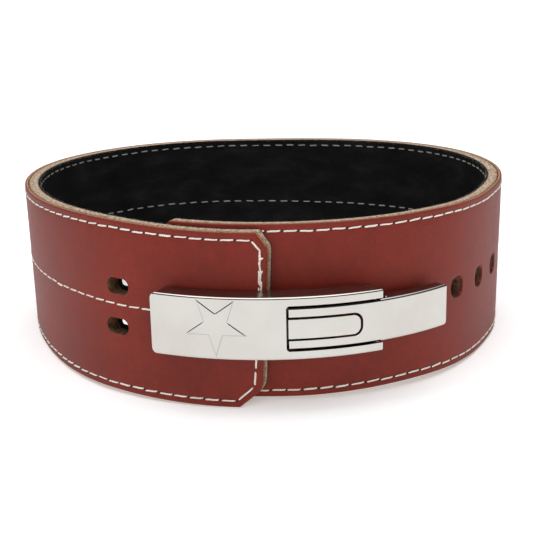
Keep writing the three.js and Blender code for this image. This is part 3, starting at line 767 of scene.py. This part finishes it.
def prong_piece(materials):
    """The prong and its boss: one turned stud from the prong plate into the strap's hole."""
    run = prong_hole_runs()[PRONG_HOLES_BEFORE + 1] + PRONG_SHIFT
    angle = angle_at(run)
    normal = face_normal(angle)
    axis = np.array((-normal[0], -normal[1], 0.0))
    place = strap_point(angle, np.array(PRONG_HOLE_LEVEL), np.array(0.0))
    end, radius, boss = PRONG_END, PRONG_RADIUS, PRONG_BOSS
    profile = ((0.0, -PRONG_REACH), (boss, -PRONG_REACH), (boss, -3.0), (boss - 0.5, -2.5),
               (radius + 0.4, -2.5), (radius, -2.1), (radius, end - 1.2), (radius - 0.5, end - 0.35),
               (radius - 1.3, end), (0.0, end))
    return turned_piece("prong", profile, place, axis, materials)


class Value:
    """A number in a material: arithmetic on it adds Math nodes."""

    def __init__(self, tree, socket):
        self.tree = tree
        self.socket = socket

    def _math(self, operation, first, second=0.0):
        node = self.tree.nodes.new("ShaderNodeMath")
        node.operation = operation
        for slot, value in enumerate((first, second)):
            if isinstance(value, Value):
                self.tree.links.new(value.socket, node.inputs[slot])
            else:
                node.inputs[slot].default_value = value
        return Value(self.tree, node.outputs[0])

    def __add__(self, other):
        return self._math("ADD", self, other)

    __radd__ = __add__

    def __sub__(self, other):
        return self._math("SUBTRACT", self, other)

    def __rsub__(self, other):
        return self._math("SUBTRACT", other, self)

    def __mul__(self, other):
        return self._math("MULTIPLY", self, other)

    __rmul__ = __mul__

    def __abs__(self):
        return self._math("ABSOLUTE", self)

    def smaller(self, other):
        """The smaller of this and other."""
        return self._math("MINIMUM", self, other)

    def clamped(self, gain):
        """This times a gain, kept between 0 and 1."""
        node = (self * gain).socket.node
        node.use_clamp = True
        return Value(self.tree, node.outputs[0])

    def sine(self):
        """The sine of this, in radians."""
        return self._math("SINE", self)


class Finish:
    """A material with its Principled shader and one method that adds any other node."""

    def __init__(self, name, **constants):
        self.material = bpy.data.materials.new(name)
        self.material.use_nodes = True
        self.tree = self.material.node_tree
        self.shader = self.tree.nodes["Principled BSDF"]
        for socket, value in constants.items():
            self.shader.inputs[socket.replace("_", " ")].default_value = value
        self.place = self.node("ShaderNodeTexCoord").outputs["Object"]
        self.material.diffuse_color = tuple(self.shader.inputs["Base Color"].default_value)

    def node(self, kind, settings=None, **inputs):
        """Adds a node: its settings first, then the values or links of its sockets by name."""
        made = self.tree.nodes.new(kind)
        for key, value in (settings or {}).items():
            if key == "stops":
                ramp = made.color_ramp
                while len(ramp.elements) < len(value):
                    ramp.elements.new(1.0)
                for element, (position, colour) in zip(ramp.elements, value):
                    element.position = position
                    element.color = colour
            else:
                setattr(made, key, value)
        for key, value in inputs.items():
            socket = made.inputs[int(key[1:])] if key[0] == "n" and key[1:].isdigit() else made.inputs[key]
            self.feed(socket, value)
        return made

    def feed(self, socket, value):
        """Links a value, a socket or a plain constant to a socket."""
        if isinstance(value, Value):
            value = value.socket
        if isinstance(value, bpy.types.NodeSocket):
            self.tree.links.new(value, socket)
        else:
            socket.default_value = value

    def value(self, socket):
        """The number at a socket, ready for arithmetic."""
        return Value(self.tree, socket)

    def noise(self, scale, detail=3.0, roughness=0.5, place=None):
        """A noise value about 0.5 in the piece's own coordinates."""
        made = self.node("ShaderNodeTexNoise", Vector=place or self.place, Scale=scale, Detail=detail,
                         Roughness=roughness)
        return self.value(made.outputs["Fac"])

    def stretched(self, scale):
        """The piece's own coordinates scaled along each axis."""
        return self.node("ShaderNodeMapping", Vector=self.place, Scale=scale).outputs[0]

    def mix(self, share, first, second):
        """A colour between two colours."""
        made = self.node("ShaderNodeMix", {"data_type": "RGBA"}, Factor=share, n6=first, n7=second)
        return made.outputs[2]

    def ramp(self, share, stops):
        """A colour ramp of (position, colour) stops."""
        return self.node("ShaderNodeValToRGB", {"stops": stops}, Fac=share).outputs["Color"]

    def bump(self, height, distance, strength=1.0, after=None):
        """A bump of that real distance, on top of another one if given."""
        inputs = {"Height": height, "Distance": distance, "Strength": strength}
        if after is not None:
            inputs["Normal"] = after
        return self.node("ShaderNodeBump", **inputs).outputs["Normal"]

    def set(self, **sockets):
        """Links values to the shader's own sockets."""
        for key, value in sockets.items():
            self.feed(self.shader.inputs[key.replace("_", " ")], value)
        return self.material


def srgb(red, green, blue):
    """A linear colour with alpha from 0 to 255 screen values."""
    screen = np.array((red, green, blue)) / 255
    linear = np.where(screen <= 0.04045, screen / 12.92, ((screen + 0.055) / 1.055) ** 2.4)
    return (*linear.tolist(), 1.0)


def shade(colour, share):
    """A colour made darker or lighter."""
    return tuple(min(c * share, 1.0) for c in colour[:3]) + (1.0,)


def red_leather(settings):
    """Smooth dyed grain: slow colour drift, fine pores and creases."""
    colour = tuple(settings.leather_colour) + (1.0,)
    finish = Finish("red_grain_leather", IOR=1.3)
    drift = finish.noise(14, 4, 0.6)
    mottle = finish.noise(160, 5, 0.65)
    creases = finish.noise(700, 6, 0.7)
    tone = finish.ramp(drift * 0.4 + mottle * 0.3 + creases * 0.3, (
        (0.34, shade(colour, 0.66)), (0.50, shade(colour, 0.94)), (0.66, shade(colour, 1.22))))
    cells = finish.node("ShaderNodeTexVoronoi", {"feature": "DISTANCE_TO_EDGE"}, Vector=finish.place,
                        Scale=1500.0)
    pores = finish.value(cells.outputs["Distance"])
    bump = finish.bump(pores.smaller(0.25) * 1.2 + creases, 0.00012, 0.35)
    bump = finish.bump(drift, 0.0012, 0.25, bump)
    roughness = 0.34 + 0.22 * mottle + 0.12 * drift
    return finish.set(Base_Color=tone, Roughness=roughness, Normal=bump)


def cut_edge(name, bands, fibre_scale):
    """Raw cut leather: bands of colour from the front skin to the back one, with fibres and pits.

    The depth attribute is shifted by the fibres, so the bands' borders run unevenly.
    """
    finish = Finish(name, Roughness=0.9, IOR=1.35)
    depth = finish.value(finish.node("ShaderNodeAttribute", {"attribute_name": "depth"}).outputs["Fac"])
    fibres = finish.noise(1.0, 5, 0.7, finish.stretched((fibre_scale, fibre_scale, fibre_scale * 1.6)))
    patches = finish.noise(60, 3, 0.6)
    bands = finish.ramp(depth + (fibres - 0.5) * 0.16 + (patches - 0.5) * 0.1, bands)
    between = finish.node("ShaderNodeMix", {"data_type": "RGBA", "blend_type": "MULTIPLY"},
                          Factor=0.9, n6=bands, n7=srgb(140, 108, 88)).outputs[2]
    tone = finish.mix((fibres - 0.43).clamped(8.0), between, bands)
    return finish.set(Base_Color=tone, Normal=finish.bump(fibres, 0.0006, 0.6))


def hole_wall(name, light, dark):
    """The wall of a punched hole: blotchy leather whose dark tone is painted shade."""
    finish = Finish(name, Roughness=0.85, IOR=1.35)
    blotch = finish.noise(260, 5, 0.75)
    return finish.set(Base_Color=finish.ramp(blotch, ((0.35, dark), (0.7, light))),
                      Normal=finish.bump(blotch, 0.0005, 0.6))


def black_suede():
    """Short nap: fine noise in tone and bump, with brushed patches."""
    finish = Finish("black_suede", Roughness=1.0, IOR=1.12)
    nap = finish.noise(1800, 4, 0.7)
    brushed = finish.noise(35, 4, 0.6, finish.stretched((1.0, 1.0, 2.4)))
    tone = finish.ramp(brushed * 0.65 + nap * 0.35, (
        (0.30, srgb(13, 13, 14)), (0.52, srgb(24, 24, 25)), (0.75, srgb(42, 41, 41))))
    bump = finish.bump(nap, 0.0005, 0.7)
    return finish.set(Base_Color=tone, Normal=bump)


def thread(name, colour, dark):
    """Twisted thread: diagonal strands on the stitch's own UV map, with painted shade in the grooves."""
    finish = Finish(name, Roughness=0.65, IOR=1.45)
    uv = finish.node("ShaderNodeUVMap", {"uv_map": "strap"}).outputs["UV"]
    parts = finish.node("ShaderNodeSeparateXYZ", Vector=uv)
    along, around = finish.value(parts.outputs[0]), finish.value(parts.outputs[1])
    strand = (along * 4200.0 + around * 2 * math.pi * 2).sine() * 0.5 + 0.5
    tone = finish.ramp(strand * 0.7 + finish.noise(900, 3) * 0.3, (
        (0.05, dark), (0.35, shade(colour, 0.93)), (0.8, colour)))
    return finish.set(Base_Color=tone, Normal=finish.bump(strand, 0.00015, 0.8))


def polished_steel(name, share):
    """Bright plating: fine buffing marks in roughness, and a slow ripple. share darkens its tone as painted
    shade.
    """
    finish = Finish(name, Metallic=1.0)
    smears = finish.noise(25, 4, 0.6)
    marks = finish.noise(1.0, 5, 0.7, finish.stretched((120.0, 120.0, 2600.0)))
    tone = finish.ramp(smears, (
        (0.3, shade(srgb(192, 188, 182), share)), (0.7, shade(srgb(201, 199, 194), share))))
    ripple = finish.bump(finish.noise(22, 2, 0.4), 0.00035, 0.35)
    return finish.set(Base_Color=tone, Roughness=0.035 + 0.05 * smears * marks * 2, Normal=ripple)


def fibre_fuzz():
    """Grey loose fibres of the lining's cut edge."""
    finish = Finish("fibre_fuzz", Roughness=1.0, IOR=1.2)
    tone = finish.ramp(finish.noise(300, 2), ((0.35, srgb(128, 116, 104)), (0.65, srgb(216, 200, 182))))
    return finish.set(Base_Color=tone)


def shaded_side_steel():
    """Polished side walls: plating toned darker as painted shade, with fine upright marks, which mirrors the
    leather.
    """
    finish = Finish("shaded_side_steel", Metallic=1.0)
    marks = finish.noise(1.0, 4, 0.6, finish.stretched((900.0, 900.0, 60.0)))
    tone = finish.ramp(marks, ((0.3, srgb(140, 134, 130)), (0.7, srgb(170, 165, 160))))
    return finish.set(Base_Color=tone, Roughness=0.2 + 0.1 * marks)


def painted_shade_steel(name, dark, light):
    """Rougher steel whose darker tone is painted shade: the cut walls of the slot, the inside of the
    channels, the base plate.
    """
    finish = Finish(name, Metallic=1.0)
    grain = finish.noise(400, 3, 0.6)
    tone = finish.ramp(grain, ((0.3, dark), (0.7, light)))
    return finish.set(Base_Color=tone, Roughness=0.3 + 0.15 * grain)


def needle_hole_shade():
    """Painted shade in the pits where the needle went in."""
    finish = Finish("needle_hole_shade", Roughness=0.95)
    tone = finish.ramp(finish.noise(900, 3), ((0.3, srgb(38, 18, 14)), (0.7, srgb(64, 30, 24))))
    return finish.set(Base_Color=tone)


def colour_choice(name, description, colour):
    """A colour that a user may change."""
    return FloatVectorProperty(name=name, description=description, subtype="COLOR", min=0.0, max=1.0,
                               default=colour[:3])


class LeatherSettings(bpy.types.PropertyGroup):
    """What a user may change on the strap."""

    leather_colour: colour_choice("Leather", "Colour of the outer face", srgb(123, 42, 31))
    core_colour: colour_choice("Core", "Colour of the cut core leather", srgb(190, 170, 148))
    edge_round: FloatProperty(
        name="Edge rounding", description="Radius of the worked edges", default=0.0007, min=0.0001,
        max=0.0012, unit="LENGTH")


class ThreadSettings(bpy.types.PropertyGroup):
    """What a user may change on the seams."""

    colour: colour_choice("Outside thread", "Colour of the thread on the outer face", srgb(250, 246, 236))
    half_width: FloatProperty(
        name="Half width", description="Half the width of a stitch", default=0.00051, min=0.0002,
        max=0.001, unit="LENGTH")


class StageSettings(bpy.types.PropertyGroup):
    """What a user may change on the studio."""

    floor_colour: colour_choice("Floor", "Colour of the floor", (0.96, 0.96, 0.96))
    sky_strength: FloatProperty(
        name="Sky", description="Brightness of the white room", default=1.15, min=0.0, max=4.0)


class BELT_OT_leather(bpy.types.Operator):
    """Makes the three leather layers with their holes, and the lining's loose fibres"""

    bl_idname = "belt.leather"
    bl_label = "Leather layers"

    def execute(self, context):
        settings = context.scene.belt_leather
        edge = settings.edge_round / MM
        core = tuple(settings.core_colour) + (1.0,)
        tan_edge = cut_edge("cut_red_leather", (
            (0.0, srgb(110, 52, 38)), (0.16, srgb(150, 92, 60)), (0.34, srgb(206, 158, 116)),
            (0.62, srgb(206, 160, 118)), (0.80, srgb(184, 134, 92)), (0.95, srgb(112, 72, 46))), 900.0)
        core_edge = cut_edge("cut_core_leather", (
            (0.0, srgb(130, 92, 64)), (0.07, core), (0.40, shade(core, 1.16)),
            (0.72, shade(core, 1.32)), (0.94, shade(core, 1.1)), (1.0, srgb(128, 114, 102))), 700.0)
        # Hole walls: blotchy tan cut leather, with a dark tone that is painted shade inside the holes.
        hole = hole_wall("hole_wall", srgb(126, 90, 62), srgb(34, 22, 15))
        rim = hole_wall("hole_rim", srgb(96, 40, 29), srgb(58, 24, 18))
        suede = black_suede()
        layers = (
            ("outer_leather", "outer_leather_skin", FACE_LEATHER, edge, 0.1, 0.28, 0.0,
             [red_leather(settings), tan_edge, tan_edge, hole, rim], "red_leather"),
            ("core_leather", "core_leather_skin", CORE_LEATHER, 0.15, 0.15, 0.0, 0.0,
             [core_edge, core_edge, core_edge, hole, core_edge], "cut_leather"),
            ("suede_lining", "suede_lining_skin", SUEDE, 0.1, 0.5, 0.0, 2.2, [suede] * 5, "suede"),
        )
        for node, name, depths, front_round, back_round, groove, ragged, materials, slot in layers:
            made = strap_layer(name, depths, front_round, back_round, groove, ragged, materials)
            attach(made, "strap")
            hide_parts(node)
        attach(suede_fibres("suede_fibres", fibre_fuzz()), "strap")
        return {"FINISHED"}


class BELT_OT_threads(bpy.types.Operator):
    """Sews the outline seam and the middle seam, white outside and grey inside"""

    bl_idname = "belt.threads"
    bl_label = "Seams"

    def execute(self, context):
        settings = context.scene.belt_thread
        colour = tuple(settings.colour) + (1.0,)
        # Each thread's second colour is painted shade in the grooves between its strands.
        outside = thread("white_thread", colour, srgb(150, 120, 105))
        inside = thread("grey_thread", srgb(164, 162, 158), srgb(70, 68, 66))
        width = settings.half_width / MM
        rows = (
            ("thread_outside", 0.2, 1, 0.93, width, 0.42, -0.07, outside, 11),
            ("thread_inside", WHOLE_DEPTH, -1, 0.66, width * 0.8, 0.28, -0.05, inside, 12),
        )
        for row in rows:
            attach(stitches(*row), "strap")
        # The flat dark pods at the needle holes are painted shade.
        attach(needle_holes("needle_hole_shade", 0.2, width, needle_hole_shade()), "strap")
        return {"FINISHED"}


class BELT_OT_buckle(bpy.types.Operator):
    """Makes the lever and the prong plate, polishes the screws and pins, and gives the base plate a steel
    darkened as painted shade
    """

    bl_idname = "belt.buckle"
    bl_label = "Buckle"

    def execute(self, context):
        steel = polished_steel("polished_steel", 1.0)
        # Painted shade: near-black steel for the slot's cut walls, the tongue's edges and groove, the prong
        # plate's edges in the slot, and the knuckles.
        shaded_steel = painted_shade_steel("slot_shade_steel", srgb(40, 38, 38), srgb(62, 60, 59))
        # Painted shade: mid-grey steel for the insides of the channels and for the base plate.
        inner = painted_shade_steel("inner_shade_steel", srgb(112, 110, 107), srgb(138, 136, 133))
        plating = [steel, shaded_steel, shaded_side_steel(), inner]
        # The star's slope takes a copy of the polished steel darkened to 0.74, painted shade.
        star = [steel, polished_steel("star_slope_shade_steel", 0.74)]
        heights = (("knuckle_low", -LINK_HALF + 0.1, -LINK_CUT_HALF),
                   ("knuckle_high", LINK_CUT_HALF, LINK_HALF - 0.4))
        # The knuckles get the near-black slot steel, painted shade.
        knuckles = [upright_roll(name, *LINK_AXIS, KNUCKLE_RADIUS, low, high, [shaded_steel])
                    for name, low, high in heights]
        pieces = {
            "lever": (lever_piece(plating), tongue_piece(plating), star_piece(star)),
            "prong_plate": (prong_plate_piece(plating), prong_piece([steel]), *knuckles),
        }
        for part, shapes in pieces.items():
            for made in shapes:
                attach(made, part)
                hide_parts(part)
        for name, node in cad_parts.items():
            if name.startswith(("base_plate", "mounting_screw", "lever_pin", "prong_plate_pin")):
                # The base plate gets the inner steel, darkened as painted shade; screws and pins get the
                # polished steel.
                node.data.materials.clear()
                node.data.materials.append(inner if name.startswith("base_plate") else steel)
        return {"FINISHED"}


class BELT_OT_stage(bpy.types.Operator):
    """Sets the floor, the white room, the lights and the camera"""

    bl_idname = "belt.stage"
    bl_label = "Studio"

    def execute(self, context):
        settings = context.scene.belt_stage
        colour = tuple(settings.floor_colour) + (1.0,)
        finish = Finish("studio_floor", Roughness=0.9, Emission_Color=(1.0, 1.0, 1.0, 1.0),
                        Emission_Strength=0.3)
        paper = finish.set(Base_Color=finish.ramp(finish.noise(3, 2), (
            (0.3, shade(colour, 0.995)), (0.7, colour))))
        side = np.linspace(-FLOOR_REACH, FLOOR_REACH, 3)
        x, y = np.meshgrid(side, side, indexing="ij")
        floor = make_object("studio_floor", np.stack((x, y, 0 * x), -1), grid_faces(3, 3), [paper])
        make_sky(context.scene, settings.sky_strength)
        make_lights(context.scene)
        make_camera(context.scene)
        context.scene.view_settings.view_transform = "Standard"
        return {"FINISHED"}


def make_sky(scene, strength):
    """A white room, dark low down on the front's side and dim at both sides, but white at the horizon.

    The dark part draws lines in polished edges, and the dim parts keep the belt's sides from glaring.
    """
    world = bpy.data.worlds.new("white_room")
    world.use_nodes = True
    scene.world = world
    tree = world.node_tree
    parts = tree.nodes.new("ShaderNodeSeparateXYZ")
    tree.links.new(tree.nodes.new("ShaderNodeTexCoord").outputs["Generated"], parts.inputs[0])
    across, towards, up = (Value(tree, parts.outputs[axis]) for axis in range(3))
    front = (-0.35 - towards).clamped(6.0)
    side = (abs(across) - 0.4).clamped(4.0)
    low = (0.80 - up).clamped(5.0) * (up - 0.08).clamped(25.0)
    light = (1 - front * low * 0.97) * (1 - side * low * 0.95) * strength
    background = tree.nodes["Background"]
    background.inputs["Color"].default_value = (1, 1, 1, 1)
    tree.links.new(light.socket, background.inputs["Strength"])


def make_lights(scene):
    """Large soft lights: one above, and two from the front that polished steel doesn't mirror."""
    places = (
        ("top_light", (0.0, -0.2, 1.5), 1.6, 8.0, True),
        ("left_light", (-0.7, -1.6, 0.7), 1.0, 4.8, False),
        ("front_light", (0.7, -1.7, 0.6), 1.2, 4.4, False),
    )
    for name, place, size, power, mirrored in places:
        data = bpy.data.lights.new(name, "AREA")
        data.size = size
        data.energy = power
        light = bpy.data.objects.new(name, data)
        light.location = place
        aim = np.array((0.0, 0.0, 0.05)) - np.array(place)
        light.rotation_euler = aim_angles(aim)
        light.visible_glossy = mirrored
        scene.collection.objects.link(light)


def aim_angles(aim):
    """Euler angles that turn an object's -Z along a direction."""
    flat = math.hypot(aim[0], aim[1])
    return (math.atan2(flat, -aim[2]), 0.0, math.atan2(-aim[0], aim[1]))


def make_camera(scene):
    """The photograph's camera: its place, slope, small turn and roll, and its focal length."""
    data = bpy.data.cameras.new("camera")
    data.sensor_width = SENSOR
    data.lens = CAMERA_FOCUS / FRAME_WIDTH * SENSOR
    data.clip_start, data.clip_end = 0.01, 50.0
    camera = bpy.data.objects.new("camera", data)
    place = np.array((-CENTRE[0], -CAMERA_DISTANCE - CENTRE[1], CAMERA_HEIGHT)) * MM
    down, yaw, roll = (math.radians(a) for a in (CAMERA_DOWN, CAMERA_YAW, CAMERA_ROLL))
    forward = np.array((math.sin(yaw) * math.cos(down), math.cos(yaw) * math.cos(down), -math.sin(down)))
    level = np.array((math.cos(yaw), -math.sin(yaw), 0.0))
    upright = np.cross(level, forward)
    right = level * math.cos(roll) + upright * math.sin(roll)
    up = upright * math.cos(roll) - level * math.sin(roll)
    matrix = np.eye(4)
    matrix[:3, 0], matrix[:3, 1], matrix[:3, 2], matrix[:3, 3] = right, up, -forward, place
    camera.matrix_world = Matrix(matrix)
    scene.collection.objects.link(camera)
    scene.camera = camera


class BELT_PT_panel(bpy.types.Panel):
    """Lists the belt's settings and steps in the 3D view's sidebar"""

    bl_label = "Lever belt"
    bl_space_type = "VIEW_3D"
    bl_region_type = "UI"
    bl_category = "Belt"

    def draw(self, context):
        column = self.layout.column()
        for group in ("belt_leather", "belt_thread", "belt_stage"):
            settings = getattr(context.scene, group)
            for name in settings.__annotations__:
                column.prop(settings, name)
        for operator in OPERATORS:
            column.operator(operator.bl_idname)


OPERATORS = (BELT_OT_leather, BELT_OT_threads, BELT_OT_buckle, BELT_OT_stage)
GROUPS = {"belt_leather": LeatherSettings, "belt_thread": ThreadSettings, "belt_stage": StageSettings}


def register():
    for group in GROUPS.values():
        bpy.utils.register_class(group)
    for name, group in GROUPS.items():
        setattr(bpy.types.Scene, name, PointerProperty(type=group))
    for operator in OPERATORS:
        bpy.utils.register_class(operator)
    bpy.utils.register_class(BELT_PT_panel)


def unregister():
    bpy.utils.unregister_class(BELT_PT_panel)
    for operator in reversed(OPERATORS):
        bpy.utils.unregister_class(operator)
    for name, group in GROUPS.items():
        delattr(bpy.types.Scene, name)
        bpy.utils.unregister_class(group)


def main():
    register()
    bpy.ops.belt.stage()
    bpy.ops.belt.leather()
    bpy.ops.belt.threads()
    bpy.ops.belt.buckle()


if __name__ == "__main__":
    main()
